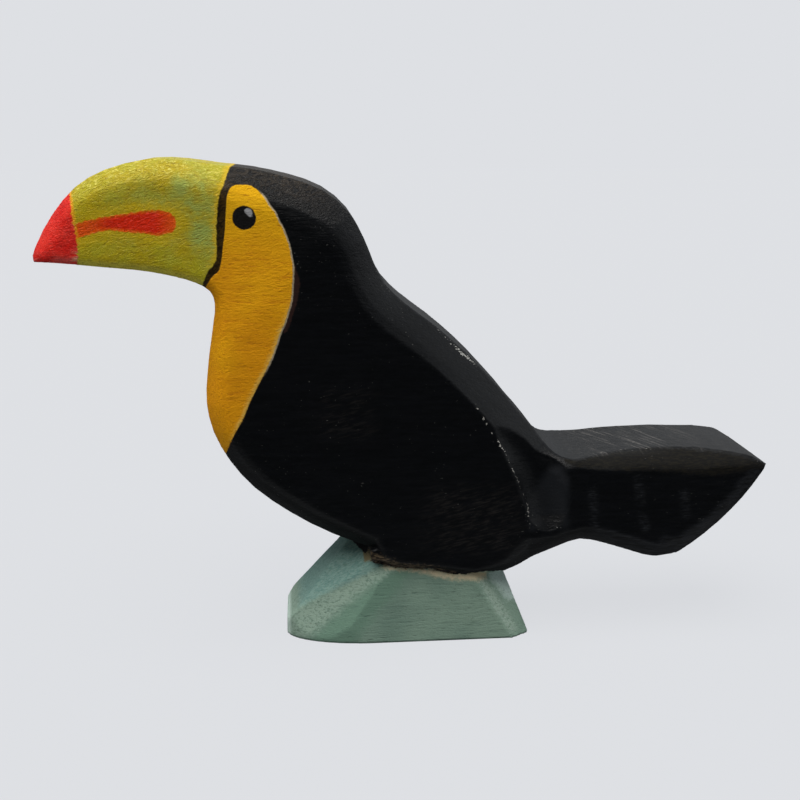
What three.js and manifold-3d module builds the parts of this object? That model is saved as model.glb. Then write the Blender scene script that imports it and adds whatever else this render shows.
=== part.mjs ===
// A toucan carved from one thick board, standing on a rock left on the same piece of wood.
// Millimetres, +Z up. X runs from the beak to the tail, Y runs through the board.
// The origin is on the ground, under the middle of the rock.
import * as THREE from "three";
import { mergeVertices } from "three/addons/utils/BufferGeometryUtils.js";
import Module from "manifold-3d";

// Driving sizes
const birdLength = 175; // beak tip to tail tip
const boardThickness = 30; // the board that bird and rock are cut from
const rockLength = 61; // along the ground
const rockHeight = 17; // ground to the bird's feet
const rockRoot = 10; // how far the rock's block runs up into the belly before the two are joined
const frontCornerLength = 22; // the rock's rounded corners in plan, along and across the board
const frontCornerWidth = 9;
const rearCorner = 5;
const gougeRadius = 7.5; // the round tool that hollowed the wood between wing and tail

// The bird is drawn on the board in hundredths of its length: x from the rock's middle, z above its feet.
// Rib by rib, from beak tip to tail tip: a point of the upper edge and the point of the lower edge facing it.
const ribs = [
  [-49.1, 45.1, -48.9, 44.3],
  [-48.5, 46.6, -47.2, 44.3],
  [-46.2, 50.4, -44.3, 44.1],
  [-43.1, 53.9, -41.2, 43.8],
  [-39.2, 56.1, -37.8, 43.5],
  [-33.8, 57.4, -33.8, 43.1],
  [-29.0, 57.3, -30.4, 42.4],
  [-24.8, 56.7, -27.9, 41.6],
  [-20.5, 56.2, -26.2, 40.5],
  [-16.0, 55.2, -25.7, 38.9],
  [-11.2, 53.4, -26.0, 36.5],
  [-7.8, 50.5, -26.6, 33.1],
  [-5.9, 47.2, -27.2, 29.1],
  [-4.6, 44.0, -27.4, 25.1],
  [-3.1, 41.1, -26.6, 21.0],
  [-0.4, 38.4, -24.6, 16.8],
  [3.4, 35.5, -21.4, 12.9],
  [7.6, 31.8, -16.4, 9.1],
  [11.2, 28.1, -10.7, 5.8],
  [13.6, 25.4, -5.4, 3.8],
  [15.0, 23.6, -3.6, 2.8],
  [16.3, 22.1, -1.8, 1.8],
  [17.9, 20.2, 3.2, 1.2],
  [19.1, 18.6, 8.9, 0.3],
  [20.5, 17.2, 13.6, 0.0],
  [22.3, 16.6, 17.8, 1.6],
  [24.4, 16.6, 21.2, 3.1],
  [27.0, 16.9, 24.5, 4.2],
  [30.4, 17.3, 27.7, 3.6],
  [34.5, 17.5, 31.1, 2.5],
  [41.0, 17.4, 32.9, 1.9],
  [48.1, 16.5, 34.8, 1.4],
  [50.9, 15, 37.9, 1.6],
];
const endBow = 1.2; // the tail's end is cut in a slight bow, in hundredths of the length

// The bird's foot steps down to the rock at the front, with the corner of this outline, in the same measure.
const footStep = [[-5.5, 4.2], [-5.5, 2.9], [-1.8, 1.7], [-1.8, 4.2]];
const footStepShare = 0.95; // of half the board

// Half of the board's thickness that is left, as a share: the beak thins toward its tip.
const thickness = [[0, 0.7], [3, 0.8], [8, 0.93], [11, 1], [32, 1]];

// The rounding of the upper edge, as [rib, reach, depth, softness]. Reach is how far in it goes, in
// hundredths of the length. Depth is what it takes off at the edge, as a share of half the board.
// Softness 1 is a flat chamfer, and more is rounder.
const upperRounding = [
  [0, 2.2, 0.2, 2],
  [3, 3, 0.27, 2.2],
  [5, 3.5, 0.3, 2.3],
  [6, 3.2, 0.32, 1.9],
  [7, 3.6, 0.32, 1.9],
  [8, 4.7, 0.33, 1.9],
  [10, 5, 0.33, 1.9],
  [12, 4.2, 0.27, 1.9],
  [15, 4.3, 0.36, 1.4],
  [18, 4.1, 0.38, 1.1],
  [23, 3.9, 0.37, 1.1],
  [24.2, 1.8, 0.16, 1.3],
  [25.5, 1, 0.08, 1.4],
  [27, 1.9, 0.24, 1.5],
  [29, 2.5, 0.31, 1.5],
  [30, 2.7, 0.28, 1.5],
  [31, 1.7, 0.12, 1.5],
  [32, 1, 0.04, 1.5],
];
// The same for the lower edge.
const lowerRounding = [
  [0, 1.2, 0.06, 2],
  [7, 1.4, 0.06, 2],
  [9, 1.8, 0.14, 2],
  [12, 3.3, 0.4, 2],
  [18, 3.2, 0.36, 1.7],
  [19, 2.4, 0.3, 1.7],
  [20, 0.8, 0.06, 1.7],
  [23, 0.8, 0.05, 1.7],
  [25, 4, 0.28, 1.4],
  [26, 2.6, 0.26, 1.4],
  [31, 2.4, 0.22, 1.3],
  [32, 1, 0.08, 1.3],
];
// The same for the cut across the tail's end, all along.
const endRounding = [[0, 2.5, 0.12, 1.2]];

// The gouge's way down between wing and tail: x and z in hundredths of the length, and its depth as a share
// of half the board.
const hollowPath = [
  [10, 28, -0.12],
  [14, 22, 0.1],
  [16.6, 18, 0.2],
  [18, 15.4, 0.22],
  [18.7, 13, 0.2],
  [19.2, 10.4, 0.15],
  [19.4, 8.6, 0.1],
  [19.6, 6.2, -0.12],
];

// The rock's flat facets. First a point on each: how far in it lies from the rock's end, as a share of its
// length, how far in from its side, as a share of half the board, and how far up, as a share of its height.
// Then the way it looks: degrees aside from straight out of that end, and degrees upward.
const noseFacets = [
  { fromEnd: 0.041, fromSide: 1, up: 0.41, aside: 0, rise: 39 },
  { fromEnd: 0.026, fromSide: 0.45, up: 0.41, aside: 52, rise: 36.5 },
  { fromEnd: 0.27, fromSide: 0.15, up: 0.64, aside: 70.5, rise: 17 },
];
const heelFacets = [
  { fromEnd: 0, fromSide: 1, up: 0, aside: 0, rise: 21.5 },
  { fromEnd: 0.072, fromSide: 0.013, up: 0, aside: 57, rise: 22.3 },
  { fromEnd: 0.5, fromSide: 0, up: 0, aside: 90, rise: 5 },
];

// Where the points of a rib lie: across a rounding, and between the two roundings.
const roundingShares = [0, 0.1, 0.25, 0.45, 0.7, 1];
const flatShares = [0.14, 0.28, 0.42, 0.58, 0.72, 0.86];

const hundredth = birdLength / 100;
const halfBoard = boardThickness / 2;
const wasm = await Module();
wasm.setup();

// Reads one column of a table at a rib's place, straight between its rows.
function read(table, place, column = 1) {
  const after = table.findIndex(([at]) => at >= place);
  if (after === 0) return table[0][column];
  if (after < 0) return table[table.length - 1][column];
  const [before, next] = [table[after - 1], table[after]];
  return THREE.MathUtils.mapLinear(place, before[0], next[0], before[column], next[column]);
}

// The two edges as smooth curves through the ribs' ends, in hundredths of the length.
function edgeCurve(column) {
  const points = ribs.map((rib) => new THREE.Vector3(rib[column], 0, rib[column + 1]));
  return new THREE.CatmullRomCurve3(points, false, "centripetal");
}
const upperEdge = edgeCurve(0);
const lowerEdge = edgeCurve(2);
const lastRib = ribs.length - 1;

// A point of the board on the line across it at a rib's place, t from the upper edge to the lower.
function onRib(place, t) {
  const top = upperEdge.getPoint(place / lastRib);
  const low = lowerEdge.getPoint(place / lastRib);
  const point = top.clone().lerp(low, t);
  const bow = endBow * 4 * t * (1 - t) * Math.max(0, place - lastRib + 1);
  const across = new THREE.Vector3(top.z - low.z, 0, low.x - top.x).normalize();
  return point.addScaledVector(across, bow);
}

// Runs of points along the upper edge, the lower edge and the cut across the tail's end.
const edgeSteps = Array.from({ length: 5 * lastRib + 1 }, (_, i) => i / 5);
const upperRun = edgeSteps.map((place) => onRib(place, 0));
const lowerRun = edgeSteps.map((place) => onRib(place, 1));
const endRun = Array.from({ length: 13 }, (_, i) => onRib(lastRib, i / 12));

function distanceTo(run, point) {
  const nearest = new THREE.Vector3();
  const piece = new THREE.Line3();
  let least = Infinity;
  for (let i = 0; i + 1 < run.length; i++) {
    piece.set(run[i], run[i + 1]);
    piece.closestPointToPoint(point, true, nearest);
    least = Math.min(least, nearest.distanceTo(point));
  }
  return least;
}

// How much of half the board a rounding takes away at a point.
function takenBy(rounding, run, place, point) {
  const [reach, depth, softness] = [1, 2, 3].map((column) => read(rounding, place, column));
  return depth * Math.max(0, 1 - distanceTo(run, point) / reach) ** softness;
}

// Half of the board's thickness that is left at a point, in millimetres.
function halfThicknessAt(place, point) {
  const taken =
    takenBy(upperRounding, upperRun, place, point) +
    takenBy(lowerRounding, lowerRun, place, point) +
    takenBy(endRounding, endRun, place, point);
  return halfBoard * (read(thickness, place) - taken);
}

// Where the ribs stand: every half rib, and closer together at both tips.
function ribPlaces() {
  const places = [0, 0.15, 0.3, 0.5];
  for (let place = 1; place < lastRib - 2; place += 0.5) places.push(place);
  const tail = [2, 1.5, 1, 0.8, 0.6, 0.4, 0.25, 0.1, 0].map((before) => lastRib - before);
  return [...places, ...tail];
}

// The way in from an edge: square to it, and along the rib at the two tips.
function wayIn(edge, place, alongRib) {
  const tangent = edge.getTangent(place / lastRib);
  const square = new THREE.Vector3(-tangent.z, 0, tangent.x);
  if (square.dot(alongRib) < 0) square.negate();
  const fromTips = THREE.MathUtils.smoothstep(Math.min(place, lastRib - place), 0.5, 3);
  return alongRib.clone().lerp(square, fromTips).normalize();
}

// The points that a rib carries: close together in the roundings and wide between them.
function ribPoints(place) {
  const top = onRib(place, 0);
  const low = onRib(place, 1);
  const length = top.distanceTo(low);
  const alongRib = low.clone().sub(top).normalize();
  const from = (end, edge, direction, reach) => {
    const way = wayIn(edge, place, direction);
    const far = Math.min(0.4 * length, reach);
    return roundingShares.map((share) => end.clone().addScaledVector(way, share * far));
  };
  const upper = from(top, upperEdge, alongRib, read(upperRounding, place));
  const lower = from(low, lowerEdge, alongRib.clone().negate(), read(lowerRounding, place)).reverse();
  const between = flatShares.map((share) => upper.at(-1).clone().lerp(lower[0], share));
  const points = [...upper, ...between, ...lower];
  return place < lastRib ? points : points.map((point) => onRib(place, point.distanceTo(top) / length));
}

// The carved bird: one face of the board, its mirror image, and the strip of wood between their rims.
function birdGeometry() {
  const places = ribPlaces();
  const rows = places.map((place) => {
    const points = ribPoints(place);
    return points.map((point) => {
      const half = halfThicknessAt(place, point);
      return new THREE.Vector3(point.x * hundredth, half, point.z * hundredth + rockHeight);
    });
  });
  const across = rows[0].length;
  const faceSize = places.length * across;
  const positions = [-1, 1].flatMap((side) => rows.flat().flatMap((p) => [p.x, side * p.y, p.z]));
  const index = [];
  const quad = (a, b, c, d) => index.push(a, b, c, a, c, d);
  const at = (i, j) => i * across + j;
  for (let i = 0; i + 1 < places.length; i++) {
    for (let j = 0; j + 1 < across; j++) {
      const [a, b, c, d] = [at(i, j), at(i, j + 1), at(i + 1, j + 1), at(i + 1, j)];
      quad(a, b, c, d);
      quad(faceSize + a, faceSize + d, faceSize + c, faceSize + b);
    }
  }
  const rim = [];
  for (let i = 0; i < places.length; i++) rim.push(at(i, 0));
  for (let j = 1; j < across; j++) rim.push(at(places.length - 1, j));
  for (let i = places.length - 2; i >= 0; i--) rim.push(at(i, across - 1));
  for (let j = across - 2; j > 0; j--) rim.push(at(0, j));
  rim.forEach((a, k) => {
    const b = rim[(k + 1) % rim.length];
    quad(a, b, faceSize + b, faceSize + a);
  });
  const geometry = new THREE.BufferGeometry();
  geometry.setAttribute("position", new THREE.Float32BufferAttribute(positions, 3));
  geometry.setIndex(index);
  return geometry;
}

// Turns a closed geometry into a solid that can be joined and cut.
function solid(geometry) {
  const bare = geometry.clone();
  bare.deleteAttribute("normal");
  bare.deleteAttribute("uv");
  const merged = mergeVertices(bare, 1e-4);
  return new wasm.Manifold(
    new wasm.Mesh({
      numProp: 3,
      vertProperties: new Float32Array(merged.attributes.position.array),
      triVerts: new Uint32Array(merged.index.array),
    }),
  );
}

// The hollow between wing and tail on one side: a round tool drawn along its path.
function hollowCutter(side) {
  const points = hollowPath.map(([x, z, depth]) => {
    const outward = halfBoard * (1 - depth) + gougeRadius;
    return new THREE.Vector3(x * hundredth, side * outward, z * hundredth + rockHeight);
  });
  const tool = new THREE.Shape().absarc(0, 0, gougeRadius, 0, 2 * Math.PI);
  const extrudePath = new THREE.CatmullRomCurve3(points);
  return solid(new THREE.ExtrudeGeometry(tool, { steps: 20, curveSegments: 14, extrudePath }));
}

// The step at the front of the bird's foot, as a short plank across the board.
function footStepSolid() {
  const corners = footStep.map(([x, z]) => new THREE.Vector2(x * hundredth, z * hundredth + rockHeight));
  const depth = footStepShare * boardThickness;
  const plank = new THREE.ExtrudeGeometry(new THREE.Shape(corners), { depth, bevelEnabled: false });
  plank.rotateX(Math.PI / 2).translate(0, depth / 2, 0);
  return solid(plank);
}

// A block that cuts one flat facet. It lies outside a point, and its near face looks two ways, in degrees:
// turn is in plan from +X, and rise is upward.
function facetCutter(point, turn, rise) {
  const size = 3 * rockLength;
  const [a, e] = [turn, rise].map(THREE.MathUtils.degToRad);
  const outward = new THREE.Vector3(Math.cos(a) * Math.cos(e), Math.sin(a) * Math.cos(e), Math.sin(e));
  const block = new THREE.BoxGeometry(size, size, size);
  block.applyQuaternion(new THREE.Quaternion().setFromUnitVectors(new THREE.Vector3(1, 0, 0), outward));
  const centre = new THREE.Vector3(...point).addScaledVector(outward, size / 2);
  block.translate(centre.x, centre.y, centre.z);
  return solid(block);
}

// The rock: a plan with rounded corners, drawn up into the bird's belly and cut in flat facets.
function rockSolid() {
  const heel = rockLength / 2;
  const frontX = frontCornerLength - heel;
  const frontY = halfBoard - frontCornerWidth;
  const plan = new THREE.Shape();
  plan.moveTo(frontX, -halfBoard);
  plan.lineTo(heel - rearCorner, -halfBoard);
  plan.absarc(heel - rearCorner, rearCorner - halfBoard, rearCorner, -Math.PI / 2, 0);
  plan.absarc(heel - rearCorner, halfBoard - rearCorner, rearCorner, 0, Math.PI / 2);
  plan.absellipse(frontX, frontY, frontCornerLength, frontCornerWidth, Math.PI / 2, Math.PI);
  plan.absellipse(frontX, -frontY, frontCornerLength, frontCornerWidth, Math.PI, 1.5 * Math.PI);
  const depth = rockHeight + rockRoot;
  let rock = solid(new THREE.ExtrudeGeometry(plan, { depth, bevelEnabled: false, curveSegments: 10 }));
  for (const side of [-1, 1]) {
    for (const { fromEnd, fromSide, up, aside, rise } of noseFacets) {
      const point = [fromEnd * rockLength - heel, side * halfBoard * (1 - fromSide), up * rockHeight];
      rock = rock.subtract(facetCutter(point, side * (180 - aside), rise));
    }
    for (const { fromEnd, fromSide, up, aside, rise } of heelFacets) {
      const point = [heel - fromEnd * rockLength, side * halfBoard * (1 - fromSide), up * rockHeight];
      rock = rock.subtract(facetCutter(point, side * aside, rise));
    }
  }
  return rock;
}

// Bird and rock are one piece of wood.
function toucanGeometry() {
  let bird = solid(birdGeometry());
  for (const side of [-1, 1]) bird = bird.subtract(hollowCutter(side));
  const joined = bird.add(footStepSolid()).add(rockSolid()).getMesh();
  const geometry = new THREE.BufferGeometry();
  geometry.setAttribute("position", new THREE.Float32BufferAttribute(joined.vertProperties, 3));
  geometry.setIndex(Array.from(joined.triVerts));
  const flat = geometry.toNonIndexed();
  flat.computeVertexNormals();
  return flat;
}

const paintedWood = new THREE.MeshStandardMaterial({ color: 0x1b1c20, roughness: 0.6, metalness: 0 });
const toucan = new THREE.Mesh(toucanGeometry(), paintedWood);
toucan.name = "toucan";

const group = new THREE.Group();
group.add(toucan);
export default group;
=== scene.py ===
import math

import bpy
import numpy as np
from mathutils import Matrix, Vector


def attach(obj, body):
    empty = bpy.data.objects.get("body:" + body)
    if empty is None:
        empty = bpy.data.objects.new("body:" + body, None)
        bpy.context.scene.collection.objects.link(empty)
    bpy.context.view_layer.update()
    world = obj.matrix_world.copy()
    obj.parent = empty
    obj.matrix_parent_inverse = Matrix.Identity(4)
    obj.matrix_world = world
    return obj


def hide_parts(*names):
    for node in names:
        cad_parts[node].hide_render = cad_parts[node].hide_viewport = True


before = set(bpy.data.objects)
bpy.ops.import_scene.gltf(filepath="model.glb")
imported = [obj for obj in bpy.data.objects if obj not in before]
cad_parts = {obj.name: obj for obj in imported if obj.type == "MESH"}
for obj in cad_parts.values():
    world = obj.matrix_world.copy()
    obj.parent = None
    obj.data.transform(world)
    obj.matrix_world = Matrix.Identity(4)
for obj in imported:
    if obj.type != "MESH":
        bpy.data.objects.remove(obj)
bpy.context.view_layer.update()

# The painter's measure is a hundredth of the bird's length: x from the rock's
# middle, z above the bird's feet, which stand on a rock of this height.
birdLength = 0.175
rockHeight = 0.017
hundredth = birdLength / 100


# Where the paints meet, drawn along the pencil lines of the pattern.
tipEdge = [
    (-44.4, 56.0), (-43.7, 53.0), (-43.4, 52.0), (-43.3, 51.0), (-43.1, 49.2),
    (-42.9, 47.8), (-42.8, 46.4), (-42.9, 45.0), (-43.1, 43.9), (-43.3, 41.0),
]
streak = [
    (-43.3, 49.1), (-41.5, 49.7), (-39.9, 50.1), (-38.1, 50.4), (-36.2, 50.7),
    (-34.4, 51.0), (-32.8, 51.1), (-31.3, 50.9), (-30.5, 50.5), (-30.1, 49.8),
    (-30.2, 48.9), (-30.6, 48.3), (-31.4, 48.1), (-32.4, 47.9), (-33.5, 48.0),
    (-35.0, 48.2), (-36.4, 48.3), (-37.7, 48.5), (-39.0, 48.5), (-40.2, 48.3),
    (-41.3, 48.0), (-43.2, 47.5),
]
lineFront = [
    (-22.6, 60.0), (-22.7, 57.0), (-23.2, 56.2), (-23.6, 55.1), (-23.9, 54.2),
    (-24.3, 53.3), (-24.5, 52.5), (-24.7, 51.5), (-24.8, 50.5), (-25.0, 48.7),
    (-25.0, 46.4), (-25.2, 44.6), (-25.7, 43.9), (-26.3, 43.2), (-26.7, 42.3),
    (-27.2, 41.2), (-28.0, 39.0),
]
lineBack = [
    (-22.3, 54.2), (-22.9, 54.0), (-23.2, 53.6), (-23.5, 52.8), (-23.6, 52.0),
    (-23.8, 49.8), (-23.9, 48.6), (-24.1, 47.3), (-24.3, 46.0), (-24.4, 45.2),
    (-24.6, 44.2), (-24.9, 43.3), (-25.4, 42.9), (-25.9, 42.4), (-26.3, 41.8),
    (-26.8, 41.0), (-27.6, 39.0),
]
bibBack = [
    (-22.3, 54.2), (-21.5, 54.2), (-20.5, 54.1), (-19.6, 53.5), (-18.8, 52.7),
    (-18.1, 51.6), (-17.4, 50.7), (-17.0, 49.7), (-16.5, 48.8), (-16.1, 47.7),
    (-15.7, 46.5), (-15.5, 45.2), (-15.3, 44.1), (-15.3, 42.9), (-15.4, 41.5),
    (-15.5, 40.1), (-15.7, 39.0), (-16.1, 37.8), (-16.5, 36.5), (-17.1, 35.2),
    (-18.3, 31.9), (-19.9, 28.8), (-21.3, 26.1), (-22.4, 23.6), (-23.8, 21.1),
    (-25.0, 18.2), (-25.6, 16.4),
]
bibShade = [
    (-15.4, 45.0), (-15.1, 44.1), (-14.9, 43.4), (-14.6, 42.5), (-14.5, 41.5),
    (-14.7, 40.2), (-15.1, 38.6), (-15.7, 36.8), (-16.4, 35.2), (-16.8, 35.4),
    (-16.3, 37.0), (-15.8, 39.0), (-15.5, 41.0), (-15.4, 43.0),
]
eyeMiddle = (-21.4, 50.1)
eyeRadius = 1.52
glint = [
    (-21.4, 50.9), (-21.2, 51.2), (-20.9, 51.35), (-20.7, 51.3), (-20.5, 51.1),
    (-20.3, 50.7), (-20.3, 50.3), (-20.4, 50.15), (-20.6, 50.15), (-21.0, 50.5),
]
tailBand = [
    (21.6, 16.7), (24.2, 16.6), (27.1, 17.0), (29.2, 17.3), (32.8, 17.6),
    (37.3, 17.4), (42.0, 17.0), (46.7, 16.4), (51.0, 14.8), (46.5, 14.3),
    (42.9, 13.9), (39.3, 14.3), (34.6, 14.8), (29.8, 15.0), (25.2, 15.4),
    (22.4, 15.8),
]
tailScuffs = [
    [(25.4, 12.4), (25.8, 10.1), (25.8, 7.8), (26.6, 6.0)],
    [(31.9, 13.8), (32.4, 10.6), (32.8, 8.4), (33.4, 6.6)],
    [(38.7, 11.4), (39.1, 8.0)],
]
cove = [
    (16.6, 9.6), (17.4, 11.0), (18.4, 13.2), (20.0, 15.4), (21.4, 15.8),
    (21.6, 14.6), (22.1, 13.5), (22.1, 10.7), (22.1, 8.6), (22.2, 6.9),
    (20.0, 7.0), (18.3, 7.4), (17.0, 6.6),
]
rockTop = [
    (-40.0, 22.0), (-25.0, 14.5), (-21.4, 12.7), (-16.4, 8.9), (-10.7, 5.6),
    (-6.4, 2.7), (-5.9, 2.8), (-5.45, 3.2), (-5.2, 1.9), (-4.3, 1.7), (-3.2, 1.6),
    (-1.3, 1.3), (0.8, 1.1), (2.9, 1.0), (4.3, 0.6), (5.7, 0.2), (7.2, 0.0),
    (8.6, 0.1), (9.9, 0.4), (11.4, 0.4), (12.9, 0.2), (14.0, 0.05), (16.0, 0.4),
    (19.0, 0.6),
]
tanPatch = [(-6.4, 3.1), (-5.3, 3.6), (-5.2, 1.9), (-6.3, 1.6)]
brownStipple = [
    (-5.4, 3.9), (-4.5, 3.5), (-3.2, 3.1), (-1.4, 2.4), (0.7, 2.0), (2.8, 1.9),
    (4.2, 1.3), (6.4, 0.5), (6.4, -0.1), (4.3, 0.5), (2.9, 0.9), (-1.3, 1.2),
    (-4.3, 1.6), (-5.3, 1.9),
]
bareStrip = [
    (-3.4, 1.7), (0.8, 1.2), (4.3, 0.7), (7.2, 0.1), (9.0, 0.3), (10.9, 0.2),
    (10.9, -1.0), (8.6, -0.9), (6.4, -0.7), (4.3, -0.3), (1.5, 0.5), (-1.3, 1.0),
    (-3.4, 1.2),
]
noseFacet = [
    (-17.8, -6.9), (-16.5, -6.0), (-12.6, -3.6), (-8.3, -1.3), (-4.4, 1.0),
    (-3.2, 1.6), (-5.0, 4.0), (-25.0, 14.0), (-25.0, -7.0),
]
paleFacet = [
    (-17.6, -6.9), (-16.5, -6.0), (-12.6, -3.6), (-8.3, -1.3), (-4.4, 1.0),
    (-3.2, 1.5), (-1.8, 1.1), (-5.6, -1.4), (-9.0, -4.2), (-11.6, -6.6),
    (-13.6, -8.8), (-15.6, -9.6), (-17.6, -8.9),
]
greenFacet = [
    (-3.0, 1.6), (0.6, 1.2), (-1.4, -1.6), (-4.4, -5.0), (-8.4, -10.4),
    (-14.6, -10.4), (-13.2, -8.4), (-9.0, -4.2), (-5.6, -1.4),
]
rearStrip = [
    (9.6, -0.4), (10.7, -0.7), (12.0, -2.9), (13.4, -5.1), (14.8, -7.3),
    (15.6, -8.8), (14.4, -8.8), (12.9, -6.6), (11.6, -4.6), (10.4, -2.4),
]
rearTop = [
    (11.2, -0.6), (12.3, 0.6), (15.5, 0.6), (16.8, -5.4), (14.2, -4.6), (12.6, -2.5),
]

# Creases where the paint is chipped: x, the distance from the board's middle, and z.
wingCrease = [
    (4.6, 8.6, 27.2), (8.1, 8.6, 26.0), (9.9, 8.6, 23.0), (12.0, 8.6, 19.7),
    (13.4, 8.4, 17.6), (14.1, 8.4, 15.9), (15.3, 8.3, 13.3), (16.4, 8.2, 10.5),
    (16.6, 8.5, 7.8), (16.9, 8.5, 6.8),
]
backCrease = [
    (-4.0, 5.6, 41.6), (-2.0, 5.5, 39.4), (0.9, 5.5, 37.1), (3.7, 5.5, 34.8),
    (5.6, 5.6, 33.0), (7.5, 5.7, 31.3), (9.6, 5.5, 29.5), (11.7, 5.4, 27.5),
    (14.1, 5.4, 24.5), (16.0, 5.6, 22.0), (17.9, 5.9, 19.1), (19.5, 5.9, 17.3),
    (22.3, 6.0, 16.4),
]
tailCrease = [
    (22.3, 6.0, 16.4), (24.2, 6.0, 16.5), (27.1, 5.9, 16.9), (29.2, 5.8, 17.2),
    (32.8, 6.0, 17.4), (37.3, 6.7, 17.2), (42.0, 7.5, 16.8), (46.7, 7.9, 16.2),
    (50.4, 7.7, 15.2),
]
coveFoot = [
    (16.8, 8.5, 8.6), (17.0, 8.6, 6.9), (18.3, 8.2, 7.5), (20.0, 8.2, 7.1),
    (21.1, 8.5, 6.8), (22.1, 8.5, 6.9),
]


def throughPoints(points, steps=6, closed=False):
    # an even curve through the given points
    given = np.array(points, dtype=float)
    count = len(given)
    spans = count if closed else count - 1
    curve = []
    for i in range(spans):
        if closed:
            a, b, c, d = (given[(i + k) % count] for k in (-1, 0, 1, 2))
        else:
            a, b, c, d = (given[min(max(i + k, 0), count - 1)] for k in (-1, 0, 1, 2))
        for t in np.arange(steps) / steps:
            curve.append(
                0.5 * (2 * b + (c - a) * t + (2 * a - 5 * b + 4 * c - d) * t ** 2
                       + (3 * b - 3 * c + d - a) * t ** 3))
    if not closed:
        curve.append(given[-1])
    return np.array(curve)


def distanceToLine(places, line):
    nearest = np.full(len(places), np.inf)
    for start, end in zip(line[:-1], line[1:]):
        along = end - start
        share = np.clip((places - start) @ along / max(along @ along, 1e-12), 0, 1)
        gap = np.linalg.norm(places - start - share[:, None] * along, axis=1)
        nearest = np.minimum(nearest, gap)
    return nearest


def insideLoop(places, loop):
    inside = np.zeros(len(places), dtype=bool)
    x, z = places.T
    for (x0, z0), (x1, z1) in zip(loop, np.roll(loop, -1, axis=0)):
        if z0 == z1:
            continue
        crosses = (z0 > z) != (z1 > z)
        inside ^= crosses & (x < x0 + (x1 - x0) * (z - z0) / (z1 - z0))
    return inside


def depthInside(places, loop):
    # in hundredths, above zero inside the loop and below zero outside it
    gap = distanceToLine(places, np.vstack([loop, loop[:1]]))
    return np.where(insideLoop(places, loop), gap, -gap)


def evenNoise(places, size, seed):
    # smooth seeded unevenness, made of a few dozen crossing waves
    wanted = np.random.default_rng(seed)
    total = np.zeros(len(places))
    waves = 28
    for _ in range(waves):
        direction = wanted.normal(size=3) / np.array(size)
        total += np.sin(places @ direction * 2.0 + wanted.uniform(0, 2 * math.pi))
    return total / math.sqrt(waves / 2)


class Wires:
    # a short way to place shader nodes and join them up
    def __init__(self, owner):
        owner.use_nodes = True
        self.nodes = owner.node_tree.nodes
        self.links = owner.node_tree.links
        self.nodes.clear()

    def put(self, socket, value):
        if isinstance(value, bpy.types.NodeSocket):
            self.links.new(value, socket)
        elif socket.type == "RGBA":
            socket.default_value = (*value, 1)
        else:
            socket.default_value = value

    def add(self, kind, values, **settings):
        # settings belong to the node itself, values go to its sockets
        node = self.nodes.new("ShaderNode" + kind)
        for name, setting in settings.items():
            setattr(node, name, setting)
        for socket, value in values.items():
            self.put(node.inputs[socket], value)
        return node

    def math(self, kind, a, b=0.0, c=0.0):
        return self.add("Math", {0: a, 1: b, 2: c}, operation=kind).outputs[0]

    def both(self, *shares):
        total = shares[0]
        for share in shares[1:]:
            total = self.math("MULTIPLY", total, share)
        return total

    def most(self, *shares):
        total = shares[0]
        for share in shares[1:]:
            total = self.math("MAXIMUM", total, share)
        return total

    def ramp(self, value, low, high, below=0.0, above=1.0):
        values = {"Value": value, "From Min": low, "From Max": high,
                  "To Min": below, "To Max": above}
        return self.add("MapRange", values, interpolation_type="SMOOTHSTEP").outputs["Result"]

    def between(self, value, start, full, fade, end):
        return self.both(self.ramp(value, start, full), self.ramp(value, end, fade))

    def split(self, direction):
        parts = self.add("SeparateXYZ", {0: direction}).outputs
        return parts["X"], parts["Y"], parts["Z"]

    def mix(self, share, under, over):
        values = {0: share, 6: under, 7: over}   # the colour sockets of the node
        return self.add("Mix", values, data_type="RGBA").outputs[2]


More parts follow.
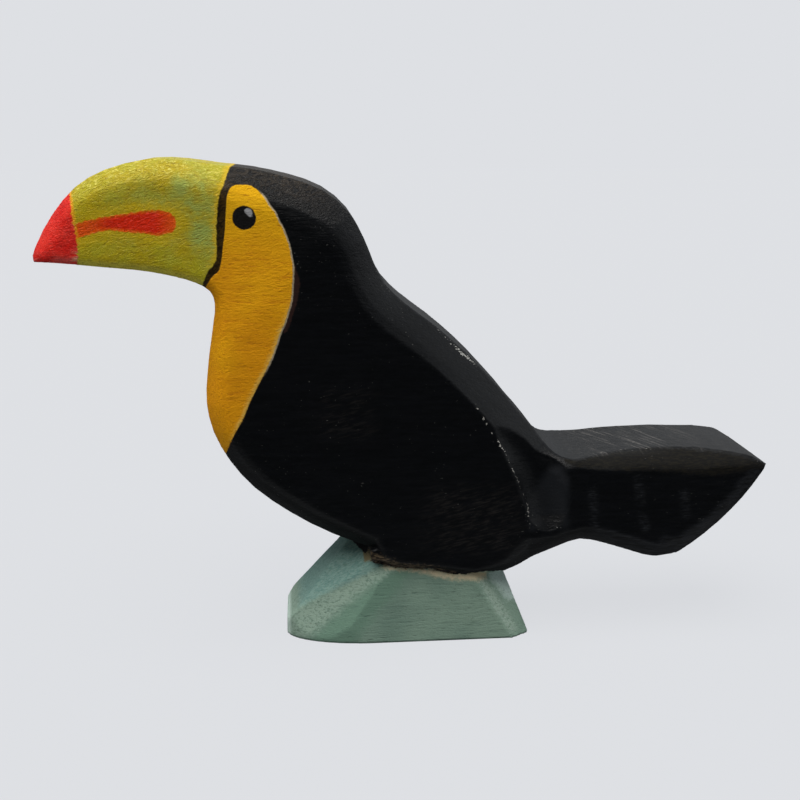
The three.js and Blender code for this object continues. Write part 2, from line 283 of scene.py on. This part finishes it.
class Paint(Wires):
    # the textures and places that the bird's paints share
    def __init__(self, material):
        super().__init__(material)
        self.places = self.add("TexCoord", {}).outputs["Object"]
        x, y, z = self.split(self.places)
        self.along = self.math("DIVIDE", x, hundredth)
        self.height = self.math("DIVIDE", self.math("SUBTRACT", z, rockHeight), hundredth)
        self.up = self.split(self.add("NewGeometry", {}).outputs["Normal"])[2]
        # the wood's grain runs along the bird
        self.grain = self.noise((160, 1300, 1500), detail=4, roughness=0.6)
        self.fineGrain = self.noise((420, 3200, 3200), detail=2)
        self.pits = self.noise((1000, 1700, 1700), roughness=0.65)
        # strokes and wrinkles of the paint
        self.grit = self.noise((600, 2600, 2600), roughness=0.65)
        self.brushed = self.noise((300, 2400, 2400), detail=4, roughness=0.7, turn=(0, 14, 0))
        self.wrinkles = self.noise(
            (800, 1500, 1800), roughness=0.6, distortion=1.2, turn=(0, 28, 0))
        self.cloud = self.noise((170, 170, 170))
        self.bigCloud = self.noise((62, 62, 62), detail=2)
        self.specks = self.noise((1500, 2600, 2600), detail=1, roughness=0.4)
        self.wobble = self.math("SUBTRACT", self.noise((1300, 1300, 1300), detail=2), 0.5)

    def noise(self, scale, detail=3.0, roughness=0.55, distortion=0.0, turn=(0, 0, 0)):
        # turned first, in degrees, then stretched by waves for each metre
        turn = [math.radians(angle) for angle in turn]
        turned = self.add("Mapping", {"Vector": self.places, "Rotation": turn})
        stretched = self.add("Mapping", {"Vector": turned.outputs[0], "Scale": scale})
        values = {"Vector": stretched.outputs[0], "Scale": 1.0, "Detail": detail,
                  "Roughness": roughness, "Distortion": distortion}
        return self.add("TexNoise", values).outputs["Fac"]

    def mark(self, name):
        # one of the distances that markOut left on the mesh, in hundredths
        return self.add("Attribute", {}, attribute_name=name).outputs["Fac"]

    def edge(self, name, wander=0.6):
        return self.math("MULTIPLY_ADD", self.wobble, wander, self.mark(name))

    def region(self, name, soft=0.1, wander=0.6):
        return self.ramp(self.edge(name, wander), -soft, soft)

    def mottled(self, texture, low, high, pair):
        return self.mix(self.ramp(texture, low, high), *pair)

    def chipped(self, crease, reach, least, under, chips):
        # scattered chips along a crease, where the paint has come off
        chance = 0.35
        near = self.ramp(self.mark(crease), reach, 0.0)
        patchy = self.math("SUBTRACT", self.cloud, 0.5)
        scatter = self.math("MULTIPLY_ADD", patchy, chance, self.specks)
        scatter = self.math("MULTIPLY_ADD", near, chance, scatter)
        share = self.both(self.ramp(scatter, least, least + 0.06), self.ramp(near, 0.02, 0.1))
        return self.mix(share, under, chips)


toucan = {
    "fineness": 8,            # each step halves the size of the wood's faces
    "reach": 0.97,            # how much of the grid of faces the wood fills
    "sanding": 5,             # rounds that even out the creases between cuts
    "sandingIn": 0.5,         # each round goes in,
    "sandingOut": -0.53,      # and back out, so the thin ends keep their length
    "softening": 1,           # passes that take the edge off what is left
    "waviness": 0.00013,      # how far hand sanding leaves the faces uneven
    "wavinessSize": 0.011,
    "toolMarks": 0.00006,     # shallow marks of knife and rasp, along the grain
    "toolMarkLength": 0.012,
    "toolMarkWidth": 0.0026,
    "flatFoot": 0.0006,       # the marks fade out over this height, so the underside is flat
    "seed": 7,
    "gloss": 0.2,
    "polished": 0.42,         # roughness where the paint is smooth,
    "dull": 0.8,              # and where it is thin, rubbed or matte
    "relief": 0.9,
    "reliefDepth": 0.0003,
    "paints": {
        # pairs are the darker and lighter tone of a mottled paint
        "black": ((0.0010, 0.0015, 0.0022), (0.0026, 0.0032, 0.0044)),
        # lighter brown where the crown faces up: partly wear, partly a painted sheen from the
        # light above
        "crownWearAndSheen": (0.040, 0.030, 0.020),
        "bodyWear": (0.016, 0.0145, 0.014),
        "strayChips": (0.09, 0.09, 0.085),
        "wingChips": (0.42, 0.41, 0.38),
        "backChips": (0.34, 0.34, 0.32),
        # in the cove: lighter grey as painted fill light, darker upward faces as painted shade,
        # lighter downward faces as painted light
        "cove": (0.0105, 0.012, 0.0145),
        "coveTopPaintedShade": (0.0038, 0.0042, 0.005),
        "coveUndersidePaintedLight": (0.022, 0.024, 0.028),
        "coveChips": (0.25, 0.25, 0.24),
        # painted sheen: lighter grey where the tail faces up, in pitted patches
        "tailTopSheen": (0.013, 0.013, 0.013),
        "sawMarks": (0.075, 0.07, 0.066),
        "tailBand": ((0.0010, 0.0008, 0.0006), (0.0070, 0.0058, 0.0030)),
        "tailChips": (0.16, 0.155, 0.14),
        "tailScuffs": (0.024, 0.026, 0.030),
        # painted light from below on the tail's downward faces
        "tailUndersidePaintedLight": (0.013, 0.0145, 0.018),
        "beak": ((0.50, 0.38, 0.006), (0.46, 0.41, 0.014)),
        # painted highlight on the upward ridges of the wrinkled paint
        "beakRidgeHighlights": (0.74, 0.66, 0.13),
        "beakGreen": (0.36, 0.43, 0.080),
        # paler where the beak faces down: worn paint and painted light from below
        "beakUndersideWearAndLight": (0.80, 0.72, 0.10),
        "beakWrinkles": (0.33, 0.25, 0.006),
        "beakGrain": (0.34, 0.26, 0.006),
        "beakFineGrain": (0.25, 0.17, 0.004),
        "beakByLine": (0.72, 0.47, 0.010),
        "streakHalo": (0.61, 0.43, 0.006),
        "streakOrange": (0.86, 0.12, 0.002),
        "streakRed": (0.80, 0.022, 0.001),
        "tipRim": (0.85, 0.38, 0.01),
        "tip": ((0.72, 0.014, 0.008), (0.88, 0.038, 0.022)),
        "tipScrubbed": (0.80, 0.13, 0.11),
        "tipDryBrush": (0.78, 0.34, 0.20),
        "bib": ((0.80, 0.33, 0.0006), (0.84, 0.39, 0.0008)),
        # painted light from above: lighter yellow towards the top
        "bibTopPaintedLight": (0.86, 0.45, 0.0008),
        "bibGrain": (0.62, 0.21, 0.0006),
        "bibFineGrain": (0.48, 0.15, 0.0008),
        "bibWear": (0.84, 0.56, 0.12),
        "bibRim": (0.50, 0.42, 0.28),
        "bibShade": (0.030, 0.014, 0.012),
        "eye": (0.0012, 0.0010, 0.0014),
        "glint": (0.36, 0.365, 0.385),
        "line": ((0.012, 0.007, 0.0014), (0.050, 0.028, 0.005)),
        "rock": ((0.16, 0.25, 0.20), (0.21, 0.31, 0.245)),
        "rockNose": ((0.13, 0.25, 0.225), (0.21, 0.335, 0.295)),
        "rockGreen": (0.15, 0.26, 0.195),
        # partly worn stain, partly a painted highlight where the facet faces up
        "rockPaleWearAndHighlight": (0.27, 0.375, 0.305),
        # partly worn stain, partly a painted highlight
        "rockRearStripWearAndHighlight": (0.29, 0.385, 0.32),
        # painted light that lifts the tail's shadow on the rear top
        "rockRearTopPaintedLight": (0.47, 0.60, 0.55),
        # painted highlight on the narrow front facet
        "rockFrontEdgeHighlight": (0.52, 0.66, 0.59),
        "rockGrain": (0.10, 0.17, 0.14),
        "rockFineGrain": (0.055, 0.09, 0.075),
        "rockPits": (0.08, 0.13, 0.10),
        # bare wood, painted lighter to lift the foot's shadow
        "bareWoodAndPaintedLight": (0.62, 0.54, 0.36),
        "tanPatch": (0.18, 0.15, 0.08),
        "stipple": ((0.012, 0.009, 0.005), (0.13, 0.095, 0.06)),
    },
}
paints = toucan["paints"]


def carvedWood():
    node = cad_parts["toucan"]
    rough = bpy.data.objects.new("roughCarving", node.data.copy())
    bpy.context.scene.collection.objects.link(rough)
    remesh = rough.modifiers.new("evenFaces", "REMESH")
    remesh.mode = "SHARP"
    remesh.octree_depth = toucan["fineness"]
    remesh.scale = toucan["reach"]
    remesh.use_smooth_shade = True
    sanding = (toucan["sandingIn"], toucan["sandingOut"]) * toucan["sanding"]
    softening = (toucan["sandingIn"],) * toucan["softening"]
    for factor in sanding + softening:
        rough.modifiers.new("softCuts", "SMOOTH").factor = factor
    ready = rough.evaluated_get(bpy.context.evaluated_depsgraph_get())
    mesh = bpy.data.meshes.new_from_object(ready)
    bpy.data.objects.remove(rough)
    mesh.name = "paintedToucan"
    mesh.materials.clear()
    bird = bpy.data.objects.new("paintedToucan", mesh)
    bpy.context.scene.collection.objects.link(bird)
    return bird


def handFinish(bird):
    mesh = bird.data
    places, normals = np.empty((2, len(mesh.vertices) * 3))
    mesh.vertices.foreach_get("co", places)
    mesh.vertex_normals.foreach_get("vector", normals)
    places = places.reshape(-1, 3)
    normals = normals.reshape(-1, 3)
    sizes = {
        "waviness": [toucan["wavinessSize"]] * 3,
        "toolMarks": [toucan["toolMarkLength"]] + [toucan["toolMarkWidth"]] * 2,
    }
    move = np.zeros(len(places))
    for i, (name, size) in enumerate(sizes.items()):
        # nearly all of it is cut into the wood
        move -= toucan[name] * (0.5 + 0.25 * evenNoise(places, size, toucan["seed"] + i))
    standing = np.clip(places[:, 2] / toucan["flatFoot"], 0, 1)
    places += normals * (move * standing)[:, None]
    mesh.vertices.foreach_set("co", places.ravel())
    mesh.update()
    return places


def markOut(bird, places):
    mesh = bird.data
    up = places[:, 2] - rockHeight
    flat = np.stack([places[:, 0], up], axis=1) / hundredth
    deep = np.stack([places[:, 0], np.abs(places[:, 1]), up], axis=1) / hundredth

    # open lines are closed by points that lie well outside the wood
    front = throughPoints(lineFront)
    back = throughPoints(lineBack)
    bib = throughPoints(bibBack)
    loops = {
        "beak": np.vstack([front, [(-60, 36), (-60, 64)]]),
        "line": np.vstack([front[front[:, 1] < 55.0], back[::-1]]),
        "bib": np.vstack([back[::-1], bib, [(-32, 14), (-32, 39)]]),
        "tip": np.vstack([throughPoints(tipEdge), [(-60, 38), (-60, 60)]]),
        "rock": np.vstack([throughPoints(rockTop), [(21, -20), (-40, -20)]]),
    }
    rounded = {
        "streak": streak, "glint": glint, "bibShade": bibShade, "bareStrip": bareStrip,
        "tailBand": tailBand, "cove": cove,
    }
    straight = {
        "noseFacet": noseFacet, "tanPatch": tanPatch, "brownStipple": brownStipple,
        "paleFacet": paleFacet, "rearStrip": rearStrip, "greenFacet": greenFacet,
        "rearTop": rearTop,
    }
    creases = {
        "wingCrease": wingCrease, "backCrease": backCrease, "tailCrease": tailCrease,
        "coveFoot": coveFoot,
    }
    loops.update({name: throughPoints(loop, closed=True) for name, loop in rounded.items()})
    loops.update({name: np.array(loop) for name, loop in straight.items()})
    marks = {name: depthInside(flat, loop) for name, loop in loops.items()}
    for name, line in creases.items():
        marks[name] = distanceToLine(deep, throughPoints(line))
    scuffs = [distanceToLine(flat, throughPoints(line)) for line in tailScuffs]
    marks["scuffs"] = np.min(scuffs, axis=0)
    marks["eye"] = eyeRadius - np.hypot(*(flat - eyeMiddle).T)
    for name, values in marks.items():
        layer = mesh.attributes.new(name, "FLOAT", "POINT")
        layer.data.foreach_set("value", np.ascontiguousarray(values, dtype=np.float32))
    return len(marks)


def stainBody(p, band):
    # black stain, browner and greyer where hands have worn it, with painted sheen on the crown
    # and the tail's top, painted light and shade in the cove and painted light under the tail
    body = p.mottled(p.grain, 0.35, 0.7, paints["black"])
    # where the crown faces up, a painted sheen from the light above, mixed with wear in the
    # paint's wrinkles
    crown = p.both(p.ramp(p.up, 0.3, 0.85), p.ramp(p.height, 42, 50), p.ramp(p.along, -6, -15))
    body = p.mix(p.both(crown, p.ramp(p.wrinkles, 0.38, 0.62)), body, paints["crownWearAndSheen"])
    # painted light and shade in the cove: lighter grey for the fill, darker where it faces up,
    # lighter where it faces down
    inCove = p.mix(p.ramp(p.up, 0, 0.35), paints["cove"], paints["coveTopPaintedShade"])
    inCove = p.mix(p.ramp(p.up, 0, -0.12), inCove, paints["coveUndersidePaintedLight"])
    body = p.mix(p.region("cove", 0.8, 0.5), body, inCove)

    # saw marks run across the tail's top
    sawn = p.noise((1600, 60, 300), detail=2, turn=(0, 0, -22))
    topOfTail = p.both(p.ramp(p.up, 0.75, 0.9), p.ramp(p.along, 22, 24))
    sawnAt = p.both(topOfTail, p.between(p.along, 24, 28, 40, 46), p.ramp(p.cloud, 0.3, 0.55))
    body = p.mix(p.both(sawnAt, p.ramp(sawn, 0.55, 0.68)), body, paints["sawMarks"])
    # painted sheen on the tail's top, lighter grey in pitted patches
    body = p.mix(p.both(topOfTail, p.ramp(p.pits, 0.45, 0.65)), body, paints["tailTopSheen"])
    body = p.mix(band, body, p.mottled(p.grit, 0.44, 0.62, paints["tailBand"]))

    onWing = p.chipped("wingCrease", 0.36, 0.75, body, paints["wingChips"])
    wingAt = p.both(p.ramp(p.along, 7.2, 8.4), p.ramp(p.height, 6.5, 8.5))
    body = p.mix(wingAt, body, onWing)
    onBack = p.chipped("backCrease", 0.5, 0.80, body, paints["backChips"])
    body = p.mix(p.between(p.along, 3.6, 4.6, 8.0, 9.6), body, onBack)
    body = p.chipped("tailCrease", 0.3, 0.9, body, paints["tailChips"])
    body = p.chipped("coveFoot", 0.2, 0.88, body, paints["coveChips"])

    patchy = p.math("MULTIPLY_ADD", p.cloud, 0.5, p.math("MULTIPLY", p.fineGrain, 0.5))
    scuffed = p.both(p.ramp(p.mark("scuffs"), 1.1, 0.1), p.ramp(patchy, 0.42, 0.66))
    body = p.mix(p.both(scuffed, p.ramp(p.grit, 0.36, 0.58)), body, paints["tailScuffs"])
    # painted light from below on the tail's downward faces, broken by the grain
    lowerTail = p.both(p.ramp(p.up, 0, -0.2), p.ramp(p.along, 24, 30))
    body = p.mix(p.both(lowerTail, p.ramp(p.grain, 0.35, 0.6)), body, paints["tailUndersidePaintedLight"])
    wornLow = p.both(p.between(p.along, -1, 6, 13, 17), p.between(p.height, 2, 5, 11, 15))
    wornHigh = p.both(
        p.between(p.along, -14, -10, -7, -3), p.between(p.height, 19, 22, 26, 29), 0.7)
    worn = p.most(wornLow, wornHigh)
    body = p.mix(p.both(worn, p.ramp(p.brushed, 0.48, 0.64)), body, paints["bodyWear"])
    stray = p.both(p.ramp(p.specks, 0.75, 0.78), p.ramp(p.bigCloud, 0.42, 0.6))
    return p.mix(stray, body, paints["strayChips"])


def paintBeak(p):
    # yellow over green, brushed and blotched, with painted highlights on the top's ridges and
    # painted light on the worn underside
    beak = p.mottled(p.cloud, 0.35, 0.65, paints["beak"])
    # painted highlight on the upward ridges of the wrinkled paint
    ridges = p.both(p.ramp(p.up, 0.3, 0.7), p.ramp(p.wrinkles, 0.5, 0.66))
    beak = p.mix(ridges, beak, paints["beakRidgeHighlights"])
    greenish = p.both(
        p.ramp(p.bigCloud, 0.42, 0.6), p.ramp(p.along, -42, -28), p.ramp(p.cloud, 0.3, 0.6),
        p.ramp(p.up, 0.2, 0.8, 1.0, 0.4))
    beak = p.mix(greenish, beak, paints["beakGreen"])
    # paler where the beak faces down: worn paint and painted light from below
    beak = p.mix(p.ramp(p.up, -0.1, -0.5, 0, 0.75), beak, paints["beakUndersideWearAndLight"])
    beak = p.mix(p.ramp(p.wrinkles, 0.46, 0.34, 0, 0.5), beak, paints["beakWrinkles"])
    beak = p.mix(p.ramp(p.grain, 0.42, 0.30, 0, 0.5), beak, paints["beakGrain"])
    beak = p.mix(p.ramp(p.fineGrain, 0.40, 0.28, 0, 0.8), beak, paints["beakFineGrain"])
    byLine = p.both(p.ramp(p.edge("beak", 1.5), 0.9, 0.1, 0, 0.8), p.ramp(p.height, 42, 46))
    beak = p.mix(byLine, beak, paints["beakByLine"])

    # the streak: red inside orange, in a warm halo
    beak = p.mix(p.ramp(p.edge("streak", 2.0), -2.0, -0.2, 0, 0.9), beak, paints["streakHalo"])
    streakAt = p.edge("streak", 0.5)
    beak = p.mix(p.ramp(streakAt, -0.12, 0.12), beak, paints["streakOrange"])
    deepRed = p.both(
        p.ramp(streakAt, 0.05, 0.5), p.ramp(p.along, -41.5, -38.0, 0.3, 1.0),
        p.ramp(p.along, -30.2, -33.0, 0.35, 1.0))
    beak = p.mix(deepRed, beak, paints["streakRed"])

    # the tip: scrubbed thin along its lower edge
    rim = p.both(p.ramp(p.edge("tip", 0.4), -0.5, -0.1), p.ramp(p.height, 46, 49))
    beak = p.mix(rim, beak, paints["tipRim"])
    tip = p.mottled(p.cloud, 0.35, 0.65, paints["tip"])
    patchy = p.math("MULTIPLY_ADD", p.cloud, 0.5, p.math("MULTIPLY", p.grain, 0.5))
    scrubbed = p.both(p.ramp(p.height, 46.2, 43.6), p.ramp(patchy, 0.42, 0.56))
    tip = p.mix(scrubbed, tip, paints["tipScrubbed"])
    dryBrush = p.both(
        p.ramp(p.edge("tip", 1.2), 1.1, 0.1), p.ramp(p.height, 47.0, 44.5),
        p.ramp(p.grain, 0.42, 0.55))
    tip = p.mix(dryBrush, tip, paints["tipDryBrush"])
    return p.mix(p.region("tip", 0.12, 0.8), beak, tip)


def paintBib(p):
    # warm yellow with brown grain, lighter towards the top as painted light, a black eye with a
    # pale glint
    bib = p.mottled(p.bigCloud, 0.35, 0.65, paints["bib"])
    bib = p.mix(p.ramp(p.grain, 0.48, 0.30, 0, 0.6), bib, paints["bibGrain"])
    # painted light from above: lighter yellow towards the top
    bib = p.mix(p.ramp(p.height, 44, 52), bib, paints["bibTopPaintedLight"])
    bib = p.mix(p.ramp(p.fineGrain, 0.42, 0.30, 0, 0.6), bib, paints["bibFineGrain"])
    bib = p.mix(p.region("eye", 0.08, 0.2), bib, paints["eye"])
    bib = p.mix(p.region("glint", 0.08, 0.1), bib, paints["glint"])
    rubbed = p.both(
        p.ramp(p.edge("bib", 0.8), 0.75, 0), p.between(p.height, 19, 24, 35, 41),
        p.ramp(p.grain, 0.36, 0.56, 0.3, 0.75))
    return p.mix(rubbed, bib, paints["bibWear"])


def paintHead(p, body):
    # the bib with its pale worn rim, the dark line in front of it, then the beak
    head = p.mix(p.region("bibShade", 0.12, 0.4), body, paints["bibShade"])
    head = p.mix(p.region("bib", 0.08, 0.15), head, paintBib(p))
    rim = p.both(
        p.between(p.edge("bib", 0.15), -0.22, -0.06, -0.02, 0.14),
        p.ramp(p.along, -19.6, -18.6), p.ramp(p.height, 19, 34, 0.6, 0.85))
    head = p.mix(rim, head, paints["bibRim"])
    line = p.mottled(p.wrinkles, 0.4, 0.62, paints["line"])
    head = p.mix(p.region("line", 0.08, 0.15), head, line)
    return p.mix(p.region("beak", 0.1, 0.3), head, paintBeak(p))


def stainRock(p):
    # a thin blue-green stain, with bare wood along the bird's foot painted lighter to lift its
    # shadow, painted highlights on the pale facets and the front edge, and painted light on the
    # rear top under the tail
    rock = p.mottled(p.bigCloud, 0.35, 0.65, paints["rock"])
    nose = p.mottled(p.brushed, 0.38, 0.62, paints["rockNose"])
    rock = p.mix(p.region("noseFacet", 0.2, 1.0), rock, nose)
    rock = p.mix(p.region("greenFacet", 1.0, 2.0), rock, paints["rockGreen"])
    crackle = p.ramp(p.pits, 0.40, 0.48)
    # pale crackled facet: partly worn stain, partly a painted highlight
    pale = p.both(p.region("paleFacet", 0.7, 2.0), crackle)
    rock = p.mix(pale, rock, paints["rockPaleWearAndHighlight"])
    # pale crackled rear strip: partly worn stain, partly a painted highlight
    paleRear = p.both(p.region("rearStrip", 0.4, 1.5), crackle)
    rock = p.mix(paleRear, rock, paints["rockRearStripWearAndHighlight"])
    # painted light that lifts the tail's shadow on the rear top
    rock = p.mix(p.region("rearTop", 0.5, 1.0), rock, paints["rockRearTopPaintedLight"])
    # painted highlight on the narrow front facet at the rock's front edge
    rock = p.mix(p.ramp(p.along, -16.6, -17.2), rock, paints["rockFrontEdgeHighlight"])
    rock = p.mix(p.ramp(p.grain, 0.42, 0.30, 0, 0.5), rock, paints["rockGrain"])
    rock = p.mix(p.ramp(p.fineGrain, 0.38, 0.26, 0, 0.7), rock, paints["rockFineGrain"])
    rock = p.mix(p.ramp(p.pits, 0.36, 0.28, 0, 0.6), rock, paints["rockPits"])
    # bare wood along the foot, painted lighter to lift the foot's shadow
    rock = p.mix(p.region("bareStrip", 0.5, 1.2), rock, paints["bareWoodAndPaintedLight"])
    return p.mix(p.region("tanPatch", 0.15, 0.5), rock, paints["tanPatch"])


def brushRelief(p):
    # pits and grain everywhere, and thick paint on the beak, the bib and the crown
    relief = p.math("MULTIPLY", p.fineGrain, 0.2)
    for texture in (p.grain, p.pits):
        relief = p.math("MULTIPLY_ADD", texture, 0.3, relief)
    crown = p.both(p.ramp(p.up, 0.15, 0.6), p.ramp(p.height, 38, 44))
    thick = p.most(p.region("beak"), p.both(p.region("bib"), 0.55), crown)
    thick = p.both(p.ramp(thick, 0, 1, 0.1, 1.2), p.ramp(p.up, 0.2, 0.7, 1.0, 1.6))
    relief = p.math("MULTIPLY_ADD", p.wrinkles, thick, relief)
    values = {"Height": relief, "Strength": toucan["relief"], "Distance": toucan["reliefDepth"]}
    return p.add("Bump", values).outputs[0]


def paintedWood():
    material = bpy.data.materials.new("paintedWood")
    p = Paint(material)
    band = p.both(p.region("tailBand", 0.3, 1.2), p.ramp(p.up, 0.95, 0.75))
    colour = paintHead(p, stainBody(p, band))
    colour = p.mix(p.region("rock", 0.08, 0.5), colour, stainRock(p))
    stippled = p.both(p.region("brownStipple", 0.35, 1.4), p.ramp(p.cloud, 0.3, 0.5))
    colour = p.mix(stippled, colour, p.mottled(p.grit, 0.4, 0.6, paints["stipple"]))
    matte = p.most(band, p.region("rock"), p.ramp(p.up, -0.2, -0.6), p.region("bib"))
    shader = p.add("BsdfPrincipled", {
        "Base Color": colour,
        "Roughness": p.ramp(matte, 0, 1, toucan["polished"], toucan["dull"]),
        "Specular IOR Level": toucan["gloss"],
        "Normal": brushRelief(p),
    })
    p.add("OutputMaterial", {"Surface": shader.outputs[0]})
    return material


bird = carvedWood()
print("carved and sanded:", len(bird.data.polygons), "faces")
places = handFinish(bird)
print("tool marks cut")
print("marked out for painting:", markOut(bird, places), "lines and patches")
bird.data.materials.append(paintedWood())
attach(bird, "root")
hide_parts("toucan")
print("toucan painted")

studio = {
    "paper": (0.7305, 0.7454, 0.7758),   # the pale paper under and behind the bird
    "paperSize": 3.0,
    "paperShade": 0.06,                  # how strongly the paper takes shadows
    "keyPower": 4.0,
    "keyDirection": (-0.25, -0.25, 0.93),
    "keySoftness": 52,                   # degrees
    "keyColour": (1.0, 0.98, 0.95),
    "airColour": (0.94, 0.97, 1.0),
    "frontAir": 0.004,                   # how bright the air is in front of the bird,
    "beakAir": 0.35,                     # beyond its beak,
    "tailAir": 1.1,                      # beyond its tail,
    "backAir": 0.44,                     # low behind it,
    "highAir": 0.6,                      # high behind it,
    "lowAir": 0.55,                      # and straight below it
    "lens": 49.5,                        # millimetres, on a sensor of this width
    "sensor": 36.0,
    "cameraPlace": (-0.02436, -0.26487, 0.12466),
    "cameraLook": (0.0846, 0.9666, -0.2419),
}


def paperLight():
    # what the lamp and the air throw on bare paper
    up = Vector(studio["keyDirection"]).normalized().z
    return studio["keyPower"] * up / math.pi + 0.5 * studio["highAir"]


def makePaper():
    half = studio["paperSize"]
    corners = [(-half, -half, 0), (half, -half, 0), (half, half, 0), (-half, half, 0)]
    mesh = bpy.data.meshes.new("studioPaper")
    mesh.from_pydata(corners, [], [(0, 1, 2, 3)])
    paper = bpy.data.objects.new("studioPaper", mesh)
    bpy.context.scene.collection.objects.link(paper)
    paper.visible_diffuse = False
    paper.visible_glossy = False
    material = bpy.data.materials.new("studioPaper")
    mesh.materials.append(material)
    # it glows by what the light leaves missing, so bare paper matches the air behind it
    shade = studio["paperShade"]
    sheet = Wires(material)
    shader = sheet.add("BsdfPrincipled", {
        "Base Color": [shade * c for c in studio["paper"]],
        "Roughness": 1.0,
        "Specular IOR Level": 0.0,
        "Emission Color": [c * (1 - shade * paperLight()) for c in studio["paper"]],
        "Emission Strength": 1.0,
    })
    sheet.add("OutputMaterial", {"Surface": shader.outputs[0]})


def makeAir():
    world = bpy.data.worlds.new("studioAir")
    bpy.context.scene.world = world
    air = Wires(world)
    x, y, z = air.split(air.add("TexCoord", {}).outputs["Generated"])
    behind = air.both(
        air.ramp(y, -0.2, 0.5), air.ramp(z, 0.2, 0.7, studio["backAir"], studio["highAir"]))
    beyondTail = air.ramp(x, 0.4, 0.8, 0, studio["tailAir"])
    beyondBeak = air.ramp(x, -0.4, -0.8, 0, studio["beakAir"])
    above = air.both(air.most(behind, beyondTail, beyondBeak), air.ramp(z, -0.1, 0.1))
    below = air.ramp(z, -0.5, -0.85, studio["frontAir"], studio["lowAir"])
    lit = air.add("Background", {
        "Color": studio["airColour"], "Strength": air.most(above, below)})
    # the camera sees plain paper colour there
    shown = air.add("Background", {"Color": studio["paper"]})
    seen = air.add("LightPath", {}).outputs["Is Camera Ray"]
    choose = air.add("MixShader", {0: seen, 1: lit.outputs[0], 2: shown.outputs[0]})
    air.add("OutputWorld", {"Surface": choose.outputs[0]})


def makeKey():
    light = bpy.data.lights.new("softKey", "SUN")
    light.energy = studio["keyPower"]
    light.angle = math.radians(studio["keySoftness"])
    light.color = studio["keyColour"]
    holder = bpy.data.objects.new("softKey", light)
    holder.rotation_euler = Vector(studio["keyDirection"]).to_track_quat("Z", "Y").to_euler()
    bpy.context.scene.collection.objects.link(holder)


def makeCamera():
    camera = bpy.data.cameras.new("photoCamera")
    camera.sensor_width = studio["sensor"]
    camera.lens = studio["lens"]
    camera.clip_start = 0.01
    holder = bpy.data.objects.new("photoCamera", camera)
    holder.location = studio["cameraPlace"]
    holder.rotation_euler = Vector(studio["cameraLook"]).to_track_quat("-Z", "Y").to_euler()
    bpy.context.scene.collection.objects.link(holder)
    bpy.context.scene.camera = holder


makePaper()
makeAir()
makeKey()
makeCamera()
bpy.context.scene.view_settings.view_transform = "Standard"
print("studio ready")
